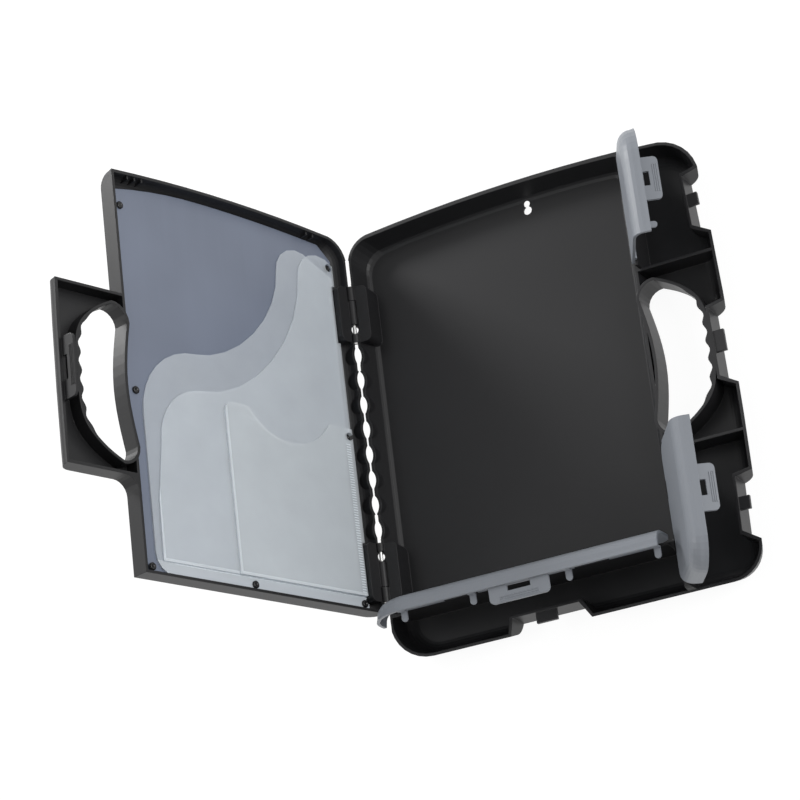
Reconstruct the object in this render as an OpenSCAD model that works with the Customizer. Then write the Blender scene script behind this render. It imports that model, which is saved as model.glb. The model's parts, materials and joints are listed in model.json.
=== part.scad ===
// Storage clipboard box: a clamshell case with a paper bay, a pencil tray and two side bins.
// The base lies on its underside. The cover stands open on two pinned hinges and carries a
// sheet of clear pockets inside and a spring clip outside. Three lids close the tray and bins.

/* [Case] */
// Width from the hinge axis to the rim of the handle side, at its widest
case_w = 308.5; // [280:0.5:330]
// Length from the bottom rim to the top of the arched rim
case_l = 364.5; // [340:0.5:390]
// Height of the base, from the table to the split line
base_h = 22; // [19:0.5:26]
// Height of the closed cover and lids above the split line
cover_h = 14; // [13.5:0.5:20]
// Thickness of the moulded walls
wall_t = 2.2; // [1.8:0.1:2.6]
// Thickness of the base floor
floor_t = 2; // [1.6:0.1:3]
// How far the top rim falls at its ends
arch_drop = 8; // [4:0.5:12]
// How far the handle side bows in, half a case length from its widest point
side_bow = 5; // [2:0.5:8]
// Widest point of the handle side, from the bottom rim
side_mid = 150; // [130:5:180]
// Radius of the bottom corner beside the hinge
corner_bl = 34; // [28:1:40]
// Radius of the bottom corner beside the handle
corner_br = 26; // [22:1:34]
// Radius of the top corner beside the handle
corner_tr = 36; // [28:1:40]
// Radius of the top corner beside the hinge
corner_tl = 22; // [20:1:28]
// Radius of the rounded upper edge of the closed case
crown_r = 11; // [8:0.5:12]
// Lean of the base walls over their height
draft = 7; // [2:0.5:8]
// Radius of the rounded lower edge of the base
foot_r = 9; // [5:0.5:10]
// Width of the cover over the paper bay
cover_w = 243; // [238:1:248]
// Depth of the pencil tray, from the bottom rim to the lid hinge
tray_d = 38.5; // [34:0.5:46]
// Gap between the rims where the halves and lids meet
rim_gap = 0.4; // [0.3:0.1:0.8]
// Gap between the side walls of the cover and the lids
side_gap = 0.8; // [0.6:0.1:1.2]
// Opening of the cover at rest, in degrees from closed
cover_open = 109; // [95:1:120]

/* [Handle] */
// Centre of the handle, from the bottom rim
handle_y = 187; // [180:0.5:196]
// Length of the handle box along the side
handle_box = 144.5; // [138:0.5:150]
// Length of the finger opening
grip_len = 124; // [100:1:128]
// Bar between the finger opening and the cover latch recess
grip_bar = 5.4; // [4.5:0.1:9]
// Bulge of the opening's inner edge towards the fingers
grip_dent = 6.5; // [3:0.5:9]
// Depth of one finger wave
wave_d = 1.3; // [0.6:0.1:2]
// Spacing of the finger waves
wave_pitch = 14.4; // [12:0.2:18]

/* [Spine] */
// Spacing of the scallops along the spine
scallop_pitch = 21; // [18:0.5:24]
// Number of scallops
scallops = 8; // [6:1:9]
// Depth of a scallop
scallop_d = 2.6; // [1.5:0.1:3.2]

/* [Case hinges] */
// Centre of the upper hinge, from the bottom rim
hinge_hi_y = 292; // [286:0.5:300]
// Centre of the lower hinge, from the bottom rim
hinge_lo_y = 74.5; // [72:0.5:84]
// Length of each hinge
hinge_len = 48; // [44:1:52]
// Width of the block behind each hinge
hinge_block_w = 14; // [11:0.5:18]
// Radius of the hinge knuckles
hinge_r = 3.4; // [3:0.1:4]
// Radius of the hinge pins
hinge_pin_r = 1.5; // [1.2:0.1:1.8]
// Radial clearance of every pin in its bore
pin_fit = 0.05; // [0.03:0.01:0.08]

/* [Lids] */
// Radius of the lid knuckles
knuckle_r = 2.2; // [2:0.1:2.6]
// Radius of the lid pins
lid_pin_r = 1; // [0.8:0.1:1.2]
// Opening of the pencil lid at rest, in degrees
pencil_open = 88; // [0:1:90]
// Opening of the upper bin lid at rest, in degrees
upper_open = 67; // [0:1:90]
// Opening of the lower bin lid at rest, in degrees
lower_open = 61; // [0:1:90]

// Radius of the lid corners beside the hinge lines
lid_corner = 13; // [8:0.5:16]
// Length of the bin lid tongue below its rim
tongue_short = 5; // [3:0.5:8]
// Length of the pencil lid tongues below its rim
tongue_long = 7; // [4:0.5:9]

/* [Latches] */
// Centre of the upper bin latch, from the bottom rim
latch_hi_y = 305.5; // [296:0.5:308]
// Centre of the lower bin latch, from the bottom rim
latch_lo_y = 57.5; // [54:0.5:66]
// Centre of the pencil tray latch, from the hinge axis
latch_tray_x = 130; // [115:1:145]
// Width of the bin latch tabs
tab_small = 36; // [30:1:40]
// Width of the cover and pencil tray latch tabs
tab_large = 49; // [40:1:50]
// Length of a tab below the split line
tab_drop = 12.5; // [11:0.5:15]
// Thickness of a tab
tab_t = 2.2; // [1.8:0.1:2.6]
// Distance of a tab's face behind the rim
tab_inset = 3; // [2.6:0.1:4]
// Depth of the recess behind a tab
recess_d = 14; // [12:0.5:18]
// Run of a recess side that is steep
ramp_short = 3; // [2:0.5:6]
// Run of a recess side that is shallow
ramp_long = 9; // [6:0.5:12]

/* [Keyhole] */
// Radius of the round part of the hanging keyhole
key_r = 3.6; // [3:0.1:4.5]
// Radius of the narrow part of the hanging keyhole
key_slot_r = 2.7; // [2:0.1:2.9]
// Distance between the two parts
key_step = 5.6; // [4:0.1:6]
// Distance of the round part from the hinge axis
key_x = 153; // [130:1:175]
// Distance of the round part from the top of the arched rim
key_drop = 19; // [19:0.5:30]

/* [Pockets] */
// Thickness of the backing sheet
sheet_t = 0.8; // [0.6:0.1:1.2]
// Depth of the backing sheet below the cover's rim
sheet_depth = 8.5; // [8:0.5:9.5]
// Thickness of each clear pocket
pocket_t = 0.5; // [0.4:0.1:0.7]
// Room inside each pocket
pocket_room = 0.9; // [0.6:0.1:1.2]
// Radius of the rivet shanks
rivet_r = 1.5; // [1.2:0.1:1.8]
// Radius of the rivet heads
rivet_head = 3; // [2.5:0.1:3.5]

// Width of the weld at a pocket's edge
weld_w = 2; // [1.5:0.5:4]
// Radius of the round shoulder of the rear pocket
shoulder_r = 58; // [40:1:64]
// Height of the rear pocket's shoulder below the arched rim
shoulder_drop = 137; // [120:1:160]
// Radius of the round top of a pocket beside the hinge
lobe_r = 24; // [16:1:28]
// Height of a pocket's round top below the arched rim
lobe_drop = 48; // [44:1:56]
// How much lower the middle pocket's shoulder lies than the rear one's
pocket_step = 30; // [16:1:40]
// Width of the disc pocket
disc_w = 134; // [126:1:140]
// Height of the disc pocket
disc_h = 138; // [126:1:150]

/* [Clip] */
// Width of the clip
clip_w = 104; // [80:1:120]
// Length of the clip's base plate
clip_l = 34; // [30:1:40]
// Thickness of the clip's steel
clip_t = 1.2; // [1:0.1:1.6]
// Distance of the clip's pin above the cover
clip_pin_z = 6.4; // [6:0.1:8]
// Radius of the clip's pin
clip_pin_r = 1.2; // [1:0.1:1.5]
// Distance of the clip's base plate from the arched rim
clip_drop = 28; // [24:1:50]
// Radius of the spring coils
coil_r = 2.1; // [1.9:0.1:2.4]
// Radius of the spring wire
wire_r = 0.5; // [0.3:0.1:0.6]

/* [Hidden] */
$fn = 32;

charcoal = [0.16, 0.16, 0.17];
lid_grey = [0.55, 0.56, 0.59];
steel = [0.75, 0.75, 0.77];
clear_blue = [0.6, 0.64, 0.7, 0.6];
clear_film = [0.85, 0.87, 0.9, 0.4];
rubber = [0.1, 0.1, 0.1];

close_h = base_h + cover_h;          // height of the closed case
rim_lo = base_h - rim_gap / 2;       // top of the base walls
rim_hi = base_h + rim_gap / 2;       // lower edge of the cover and lids
spine_x = 0.6;                       // face of the spine, beside the hinge axis
arch_x = case_w * 0.52;              // highest point of the arched rim
arch_run = case_w * 0.49;
cut = 1;                             // how far cutting shapes run past the solid

// ---- outline of the case ----
function arch_y(x) = case_l - arch_drop * pow((x - arch_x) / arch_run, 2);
function arc_pts(cx, cy, r, a0, a1, n) =
    [for (k = [0:n]) let (a = a0 + (a1 - a0) * k / n) [cx + r * cos(a), cy + r * sin(a)]];
// the handle side bows in towards its ends
function side_x(y) = case_w - side_bow * pow((y - side_mid) / (case_l / 2), 2);
function side_turn(y) = atan(2 * side_bow * (y - side_mid) / pow(case_l / 2, 2));
corner_n = 8;
arch_n = 10;
side_n = 6;
side_top = arch_y(case_w - corner_tr) - corner_tr;   // where the bowed side meets the top corner
// plan outline of the whole case, moved inwards by i
function outline(i) = let (tl = spine_x + corner_tl, tr = side_x(side_top) - corner_tr) concat(
    arc_pts(spine_x + corner_bl, corner_bl, corner_bl - i, 180, 270, corner_n),
    arc_pts(side_x(corner_br) - corner_br, corner_br, corner_br - i, 270, 360, corner_n),
    [for (k = [1:side_n - 1]) let (y = corner_br + (side_top - corner_br) * k / side_n) [side_x(y) - i, y]],
    arc_pts(tr, side_top, corner_tr - i, 0, 90, corner_n),
    [for (k = [1:arch_n - 1]) let (x = tr + (tl - tr) * k / arch_n) [x, arch_y(x) - i]],
    arc_pts(tl, arch_y(tl) - corner_tl, corner_tl - i, 90, 180, corner_n));

// solid through a stack of rings, each [height, outline], all with as many points
module loft(rings) {
    n = len(rings[0][1]);
    m = len(rings);
    pts = [for (r = rings) for (p = r[1]) [p[0], p[1], r[0]]];
    sides = [for (j = [0:m - 2]) for (k = [0:n - 1])
        let (a = j * n + k, b = j * n + (k + 1) % n) each [[a, b + n, b], [a, a + n, b + n]]];
    bottom = [for (k = [0:n - 1]) k];
    top = [for (k = [n - 1:-1:0]) (m - 1) * n + k];
    polyhedron(pts, concat(sides, [bottom, top]));
}

// inset of the base skin at height z above the foot, for a skin whose foot radius is r
function lean(z) = draft * (1 - z / rim_lo);
round_n = 5;
module base_body() {
    loft(concat([for (k = [0:round_n]) let (a = 90 * k / round_n, z = foot_r * (1 - cos(a)))
        [z, outline(lean(z) + foot_r * (1 - sin(a)))]], [[rim_lo, outline(0)]]));
}
// hollow of the bins and the tray, one wall inside the base skin
module base_inner() {
    r = foot_r - floor_t;
    loft(concat([for (k = [0:round_n]) let (a = 90 * k / round_n, z = floor_t + r * (1 - cos(a)))
        [z, outline(wall_t + lean(z) + r * (1 - sin(a)))]], [[rim_lo + cut, outline(wall_t)]]));
}
// upper half of the closed case, t inside its outer skin
crown_lean = 0.8;
module upper_body(t) {
    r = crown_r - t;
    loft(concat([[rim_hi - t, outline(t)]], [for (k = [0:round_n + 1]) let (a = 90 * k / (round_n + 1))
        [close_h - crown_r + r * sin(a), outline(t + crown_lean + r * (1 - cos(a)))]]));
}
// inset of the crown's inner skin at height z
function crown_in(z) =
    let (r = crown_r - wall_t, a = asin(min(1, (z - close_h + crown_r) / r)))
    wall_t + crown_lean + r * (1 - cos(a));

// ---- finger opening of the handle ----
collar_t = 2.4;                      // wall round the opening
grip_x = cover_w - collar_t;         // inner edge of the opening, at its ends
grip_out = side_x(handle_y) - recess_d - grip_bar;
grip_half = grip_len / 2;
end_r = 13.5;                        // round inner corners of the opening
end_l = 13;
grip_flat = grip_half - end_l;
grip_end_x = grip_x + end_r;
end_n = 6;
wave_n = 56;
wave_shift = 5;
function grip_left(s) = grip_x + grip_dent * cos(90 * s / grip_flat);
// the finger waves are on the inner side of the collar alone; its outer side runs along their crests
function wave(s, g) = wave_d * (g > 0 ? 1 : cos(360 * (s + wave_shift) / wave_pitch))
    * max(0, 1 - pow(s / (grip_half * 0.8), 6));
function grip_right(s, g) = grip_end_x + wave(s, g)
    + (grip_out - grip_end_x + g) * (1 - pow(abs(s) / (grip_half + g), 4));
function grip_corner(dir, g) = [for (k = [1:end_n - 1]) let (a = 90 * k / end_n + (dir > 0 ? 90 : 180))
    [grip_end_x + (end_r + g) * cos(a), handle_y + dir * grip_flat + (end_l + g) * sin(a)]];
// plan of the opening, grown by g
function grip_outline(g) = let (h = grip_half + g) concat(
    [for (k = [-end_n:end_n]) let (s = -k / end_n * grip_flat) [grip_left(s) - g, handle_y + s]],
    grip_corner(-1, g),
    [for (k = [0:wave_n]) let (s = -h + 2 * h * k / wave_n) [grip_right(s, g), handle_y + s]],
    grip_corner(1, g));
module grip_prism(g, z0, z1) {
    translate([0, 0, z0]) linear_extrude(z1 - z0) polygon(grip_outline(g));
}

// ---- spine ----
scallop_r = 12;
spine_mid = (hinge_hi_y + hinge_lo_y) / 2;
scallop_y = [for (k = [0:scallops - 1]) spine_mid + (k - (scallops - 1) / 2) * scallop_pitch];
module scallop_row(grow, z0, z1) {
    for (y = scallop_y)
        translate([spine_x + scallop_d - scallop_r, y, z0]) cylinder(r = scallop_r + grow, h = z1 - z0);
}

// ---- case hinges ----
knuckle_gap = 0.4;
hinge_ys = [hinge_hi_y, hinge_lo_y];
module y_rod(x, z, r, y0, y1) {
    translate([x, y0, z]) rotate([-90, 0, 0]) cylinder(r = r, h = y1 - y0);
}
module x_rod(y, z, r, x0, x1) {
    translate([x0, y, z]) rotate([0, 90, 0]) cylinder(r = r, h = x1 - x0);
}
// places along a hinge, as distances from its outer end towards the middle of the spine
notch_r = 3.2;
notch_at = hinge_len - 11;
knuckle_a = hinge_len * 0.25;
knuckle_b = notch_at - notch_r - 1;
function along(y, a, b) = y > spine_mid ? [y + hinge_len / 2 - b, y + hinge_len / 2 - a]
                                        : [y - hinge_len / 2 + a, y - hinge_len / 2 + b];
function base_spans(y) = [along(y, 0, knuckle_a), along(y, notch_at + notch_r + 1, hinge_len)];
function cover_span(y) = along(y, knuckle_a + knuckle_gap, knuckle_b);
block_r = 5;
module hinge_block(grow, z0, z1) {
    w = hinge_block_w + grow;
    half = hinge_len / 2 + grow;
    for (y = hinge_ys) translate([0, y, z0]) {
        translate([0, -half, 0]) cube([w - block_r, 2 * half, z1 - z0]);
        translate([0, -half + block_r, 0]) cube([w, 2 * (half - block_r), z1 - z0]);
        for (s = [-1, 1]) translate([w - block_r, s * (half - block_r), 0])
            cylinder(r = block_r, h = z1 - z0);
    }
}
// core holes through the spine beside the hinges
module hinge_notches(z0, z1) {
    for (y = hinge_ys) translate([0, (along(y, notch_at, notch_at)[0]), z0])
        cylinder(r = notch_r, h = z1 - z0);
}
// upright spine wall between the outer ends of the hinges, from its foot or crown to the split line
spine_run = 20;
spine_edge = 4;
spine_y0 = hinge_lo_y - hinge_len / 2 - 4;
spine_y1 = hinge_hi_y + hinge_len / 2 + 4;
module spine_wall(z_edge, z_split) {
    dir = z_split > z_edge ? 1 : -1;
    profile = concat([[spine_x, z_split]],
        [for (k = [0:4]) let (a = 22.5 * k)
            [spine_x + spine_edge * (1 - cos(a)), z_edge + dir * spine_edge * (1 - sin(a))]],
        [[spine_x + spine_run, z_edge], [spine_x + spine_run, z_split]]);
    translate([0, spine_y1, 0]) rotate([90, 0, 0]) linear_extrude(spine_y1 - spine_y0) polygon(profile);
}

// ---- lid hinges ----
axis_z = close_h - knuckle_r;                       // height of all lid hinge axes
bin_axis_x = cover_w + side_gap + knuckle_r;        // hinge line of both bin lids
tray_axis_y = tray_d;                               // hinge line of the pencil lid
cover_y0 = tray_axis_y + knuckle_r + side_gap;      // bottom edge of the cover
box_y0 = handle_y - handle_box / 2;                 // ends of the handle box
box_y1 = handle_y + handle_box / 2;
lid_end = 1.6;                                      // gap between a lid's end and the handle box
throat_r = 12;                                      // fillet under the handle box
web_t = 2.4;                                        // walls that carry the lid hinges
web_top = axis_z - knuckle_r - rim_gap;
upper_span = [box_y1 + lid_end + 4, case_l - 18];   // lengths of the three hinge lines
lower_span = [lid_corner + 1, box_y0 - throat_r - 4];
pencil_x1 = bin_axis_x - knuckle_r - side_gap;      // handle end of the pencil lid
pencil_span = [14, pencil_x1 - lid_corner + 1];
base_knuckle = 14;                                  // length of a base knuckle on the bin lids
function two_knuckles(span, len) = let (d = (span[1] - span[0]) / 4)
    [[span[0] + d - len / 2, span[0] + d + len / 2], [span[1] - d - len / 2, span[1] - d + len / 2]];
upper_knuckles = two_knuckles(upper_span, base_knuckle);
lower_knuckles = two_knuckles(lower_span, base_knuckle);
pencil_knuckles = two_knuckles(pencil_span, base_knuckle * 2);
// what is left of a hinge line between the base knuckles
function between(span, ks) = [[span[0], ks[0][0] - knuckle_gap],
                              [ks[0][1] + knuckle_gap, ks[1][0] - knuckle_gap],
                              [ks[1][1] + knuckle_gap, span[1]]];

// ---- latches ----
tooth_h = 3;
slot_h = 4.4;
tooth_z = base_h - slot_h / 2 - 0.2;                // middle of a tooth
tooth_gap = 0.3;                                    // between a tooth's tip and the tab's back
recess_room = 3;                                    // room beside a tab in its recess
tab_root = 4;                                       // height of the shoulder that carries a tab
// a latch is set out along x across a rim at the origin, outwards being +x
// plan of a recess whose panel stands d behind the rim, grown by t, with sides that run lo and hi
function recess_plan(w, d, t, lo, hi) = let (out = t + 3 * cut, k = (d + out) / d) [
    [-d - t, -w / 2 - t], [out, -w / 2 - lo * k - t], [out, w / 2 + hi * k + t], [-d - t, w / 2 + t]];
module latch_recess(l, t) {
    plan = recess_plan(l[3] + 2 * recess_room, recess_d, t, l[5], l[6]);
    translate([0, 0, -cut]) linear_extrude(rim_lo + 2 * cut) polygon(plan);
}
module latch_tooth(l) {
    tip = -tab_inset - tab_t - tooth_gap;
    back = -recess_d - wall_t / 2;
    translate([back, -l[4] / 2, tooth_z - tooth_h / 2]) cube([tip - back, l[4], tooth_h]);
}
module latch_tab(l) {
    w = l[3];
    slot_w = l[4] + 2;
    r = 4;
    translate([-tab_inset - tab_t, 0, 0]) difference() {
        union() {
            translate([0, -w / 2, rim_hi]) cube([tab_inset + 1, w, tab_root]);
            translate([0, -w / 2, base_h - tab_drop + r]) cube([tab_t, w, tab_drop]);
            translate([0, -w / 2 + r, base_h - tab_drop]) cube([tab_t, w - 2 * r, r + 1]);
            for (s = [-1, 1]) translate([0, s * (w / 2 - r), base_h - tab_drop + r])
                rotate([0, 90, 0]) cylinder(r = r, h = tab_t);
            // grip ribs below the slot
            for (k = [0:2]) translate([tab_t, -w * 0.32, base_h - tab_drop + 1.4 + k * 1.5])
                rotate([-90, 0, 0]) cylinder(r = 0.45, h = w * 0.64);
        }
        translate([-cut, -slot_w / 2, tooth_z - slot_h / 2]) cube([tab_t + 2 * cut, slot_w, slot_h]);
    }
}
// tongue on the back of a lid's band, in inside the rim and len below it, that steadies the closed lid
tongue_w = 5;
tongue_t = 1.6;
module tongue(in, len) {
    r = tongue_w / 2;
    translate([-in - tongue_t, 0, 0]) {
        translate([0, -r, rim_lo - len + r]) cube([tongue_t, tongue_w, len - r + rim_gap + tongue_t]);
        translate([0, 0, rim_lo - len + r]) rotate([0, 90, 0]) cylinder(r = r, h = tongue_t);
        translate([0, -r, rim_hi]) cube([in + tongue_t - wall_t / 2, tongue_w, tongue_t]);
    }
}
tooth_small = 10;
tooth_large = 17;
// the four latches: [turn about z, x, y, tab width, tooth width, side runs of the recess]
function side_latch(y, tab, tooth) = [side_turn(y), side_x(y), y, tab, tooth, ramp_long, ramp_short];
latch_upper = side_latch(latch_hi_y, tab_small, tooth_small);
latch_cover = side_latch(handle_y, tab_large, tooth_large);
latch_lower = side_latch(latch_lo_y, tab_small, tooth_small);
latch_tray = [-90, latch_tray_x, 0, tab_large, tooth_large, ramp_short, ramp_long];
latches = [latch_upper, latch_cover, latch_lower, latch_tray];
module at_latch(l) {
    translate([l[1], l[2], 0]) rotate([0, 0, l[0]]) children();
}

// ---- plan regions of the closed upper half ----
far = 60;                                           // runs regions past the outline
cover_region = concat(
    [[-far, cover_y0], [cover_w, cover_y0]],
    [[cover_w, box_y0 - throat_r]],
    arc_pts(cover_w + throat_r, box_y0 - throat_r, throat_r, 180, 90, 6),
    [[case_w + far, box_y0], [case_w + far, box_y1], [cover_w, box_y1], [cover_w, case_l + far],
     [-far, case_l + far]]);
cover_hollow = [[-far, cover_y0 + wall_t], [cover_w - wall_t, cover_y0 + wall_t],
                [cover_w - wall_t, case_l + far], [-far, case_l + far]];
// the collar is the cover's wall beside the opening
collar_hollow = [[cover_w - wall_t - cut, handle_y - grip_flat + 2], [cover_w + cut, handle_y - grip_flat + 2],
                 [cover_w + cut, handle_y + grip_flat - 2], [cover_w - wall_t - cut, handle_y + grip_flat - 2]];
box_hollow = [[cover_w, box_y0 + wall_t], [case_w + far, box_y0 + wall_t],
              [case_w + far, box_y1 - wall_t], [cover_w, box_y1 - wall_t]];

// ---- frames: case coordinates have x = 0 on the hinge axis and y = 0 at the bottom rim ----
module in_case() {
    translate([-case_w / 2, -case_l / 2, 0]) children();
}
module on_cover() {
    in_case() translate([0, 0, base_h]) rotate([0, -cover_open, 0]) translate([0, 0, -base_h]) children();
}
module turn_bin_lid(a) {
    in_case() translate([bin_axis_x, 0, axis_z]) rotate([0, -a, 0]) translate([-bin_axis_x, 0, -axis_z])
        children();
}
module turn_pencil_lid(a) {
    in_case() translate([0, tray_axis_y, axis_z]) rotate([-a, 0, 0]) translate([0, -tray_axis_y, -axis_z])
        children();
}

// ---- base ----
bay_x0 = 3;
bay_r = 18;
bay_steps = [[0, 8.5], [0.06, 6.6], [0.16, 5.2], [0.5, 3], [1, 0]];
// the paper bay's own outline, moved inwards by i
function bay_outline(i) = let (x0 = bay_x0, x1 = cover_w - wall_t, y0 = tray_axis_y + web_t / 2,
                               yl = arch_y(x0 + bay_r) - wall_t - 1, yr = arch_y(x1) - wall_t - 1) concat(
    arc_pts(x0 + 4 + i, y0 + 4 + i, 4, 180, 270, 3),
    arc_pts(x1 - 4 - i, y0 + 4 + i, 4, 270, 360, 3),
    arc_pts(x1 - 4 - i, yr - 4 - i, 4, 0, 90, 3),
    [for (k = [1:7]) let (x = x1 - 4 + (x0 + bay_r - x1 + 4) * k / 8) [x, arch_y(x) - wall_t - 1 - i]],
    arc_pts(x0 + bay_r + i, yl - bay_r - i, bay_r, 90, 180, 6));
module bay_hollow() {
    loft(concat([for (s = bay_steps) [floor_t + s[0] * (rim_lo - floor_t), bay_outline(s[1])]],
                [[rim_lo + cut, bay_outline(0)]]));
}
bin_x0 = bin_axis_x + web_t / 2;
module bin_room() {
    // upper bin, lower bin, pencil tray and handle box, before the outline trims them
    translate([bin_x0, box_y1 + wall_t, 0]) cube([far + 20, far + 60, close_h]);
    translate([bin_x0, -cut, 0]) cube([far + 20, box_y0 - wall_t + cut, close_h]);
    translate([-cut, -cut, 0]) cube([bin_axis_x - web_t / 2 + cut, tray_axis_y - web_t / 2 + cut, close_h]);
    translate([cover_w, box_y0, 0]) cube([far + 20, handle_box, close_h]);
}
// post that fills the round corner of a closed lid, at the corner's own centre, turned by a
post_top = axis_z + 0.8;
module corner_post(x, y, a, run) {
    translate([x, y, 0]) rotate([0, 0, a]) linear_extrude(post_top) difference() {
        square([lid_corner + run[0], lid_corner + run[1]]);
        circle(r = lid_corner + side_gap, $fn = 64);
    }
}
module corner_posts() {
    difference() {
        corner_post(pencil_x1 - lid_corner, tray_axis_y - lid_corner, 0,
                    [bin_axis_x - pencil_x1, web_t / 2]);
        x_rod(tray_axis_y, axis_z, knuckle_r + knuckle_gap, 0, pencil_span[1] + knuckle_gap);
        // keeps the top clear of the bin lid's knuckles and of the upright lid
        translate([bin_axis_x - knuckle_r - knuckle_gap, 0, axis_z - knuckle_r - knuckle_gap])
            cube([far, case_l, close_h]);
        translate([0, tray_axis_y - knuckle_gap, axis_z - knuckle_r - knuckle_gap]) cube([case_w, far, close_h]);
    }
    intersection() {
        union() {
            corner_post(bin_axis_x + lid_corner, lid_corner, 180, [0, 0]);
            translate([bin_axis_x - web_t / 2, 0, 0]) cube([web_t, lower_span[0] + cut, web_top]);
        }
        union() {
            base_body();
            upper_body(side_gap);
        }
    }
}
module base_webs() {
    // walls that stand above the rim beside the bins and the tray
    translate([bin_axis_x - web_t / 2, upper_span[0] - 4, base_h - 4])
        cube([web_t, upper_span[1] - upper_span[0] + 4, web_top - base_h + 4]);
    translate([bin_axis_x - web_t / 2, lower_span[0], base_h - 4])
        cube([web_t, lower_span[1] - lower_span[0] + 2, web_top - base_h + 4]);
    translate([pencil_span[0], tray_axis_y - web_t / 2, base_h - 4])
        cube([bin_axis_x - web_t / 2 - pencil_span[0], web_t, web_top - base_h + 4]);
    for (k = concat(upper_knuckles, lower_knuckles)) {
        y_rod(bin_axis_x, axis_z, knuckle_r, k[0], k[1]);
        translate([bin_axis_x - web_t / 2, k[0], web_top - 1]) cube([web_t, k[1] - k[0], axis_z - web_top + 1]);
    }
    for (k = pencil_knuckles) {
        x_rod(tray_axis_y, axis_z, knuckle_r, k[0], k[1]);
        translate([k[0], tray_axis_y - web_t / 2, web_top - 1]) cube([k[1] - k[0], web_t, axis_z - web_top + 1]);
    }
}
module base_tray() {
    color(charcoal) in_case() difference() {
        union() {
            difference() {
                union() {
                    base_body();
                    spine_wall(0, rim_lo);
                }
                difference() {
                    union() {
                        bay_hollow();
                        intersection() {
                            base_inner();
                            bin_room();
                        }
                    }
                    for (l = latches) at_latch(l) latch_recess(l, wall_t);
                    grip_prism(collar_t, 0, close_h);
                    scallop_row(web_t, 0, close_h);
                    hinge_block(0, 0, close_h);
                    translate([0, spine_y0, 0]) cube([spine_x + wall_t, spine_y1 - spine_y0, close_h]);
                }
                for (l = latches) at_latch(l) latch_recess(l, 0);
            }
            for (l = latches) at_latch(l) latch_tooth(l);
            base_webs();
            corner_posts();
            for (y = hinge_ys) for (s = base_spans(y)) y_rod(0, base_h, hinge_r, s[0], s[1]);
        }
        grip_prism(0, -cut, close_h);
        scallop_row(0, -cut, close_h);
        hinge_notches(-cut, close_h);
        translate([key_x, case_l - key_drop, -cut]) cylinder(r = key_r, h = foot_r + cut);
        translate([key_x, case_l - key_drop + key_step, -cut]) cylinder(r = key_slot_r, h = foot_r + cut);
        for (y = hinge_ys) {
            y_rod(0, base_h, hinge_pin_r + pin_fit, y - hinge_len, y + hinge_len);
            y_rod(0, base_h, hinge_r + knuckle_gap, cover_span(y)[0] - knuckle_gap, cover_span(y)[1] + knuckle_gap);
        }
        y_rod(bin_axis_x, axis_z, lid_pin_r + pin_fit, upper_span[0] - 5, upper_span[1] + 5);
        y_rod(bin_axis_x, axis_z, lid_pin_r + pin_fit, lower_span[0] - 5, lower_span[1] + 5);
        x_rod(tray_axis_y, axis_z, lid_pin_r + pin_fit, pencil_span[0] - 5, pencil_span[1] + 2);
    }
}

// ---- cover ----
sheet_z = base_h + sheet_depth;                     // face of the backing sheet, case closed
boss_z = sheet_z + sheet_t;
sheet_gap = 0.6;                                    // between the sheet and the walls beside it
sheet_side = 7;                                     // between the sheet and the cover's edge by the handle
sheet_x0 = 11;
sheet_x1 = cover_w - sheet_side;
sheet_y0 = cover_y0 + wall_t + sheet_gap;
sheet_rim = crown_in(boss_z) + 0.6 * sheet_gap;     // between the sheet and the arched rim
boss_r = rivet_head + 0.5;
// rivets of the backing sheet: [x, y], the first three through the rear pocket's lower edge
rivet_in = 5;
rivet_drop = 32;                                    // from the top rim to the rivet beside the hinge
// that rivet keeps its boss clear of the cut-out round the upper hinge block
rivet_hi_x = max(sheet_x0 + rivet_in,
    case_l - rivet_drop - boss_r > hinge_hi_y + hinge_len / 2 + sheet_gap ? 0
                                                 : hinge_block_w + 2 * sheet_gap + boss_r);
rivets = [[sheet_x0 + rivet_in + 1, sheet_y0 + rivet_in], [cover_w / 2 + 9, sheet_y0 + rivet_in],
          [sheet_x1 - rivet_in, sheet_y0 + rivet_in],
          [sheet_x0 + rivet_in - 1, handle_y], [sheet_x1 - rivet_in, handle_y],
          [rivet_hi_x, case_l - rivet_drop], [sheet_x1 - rivet_in, case_l - rivet_drop + rivet_in]];
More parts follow.
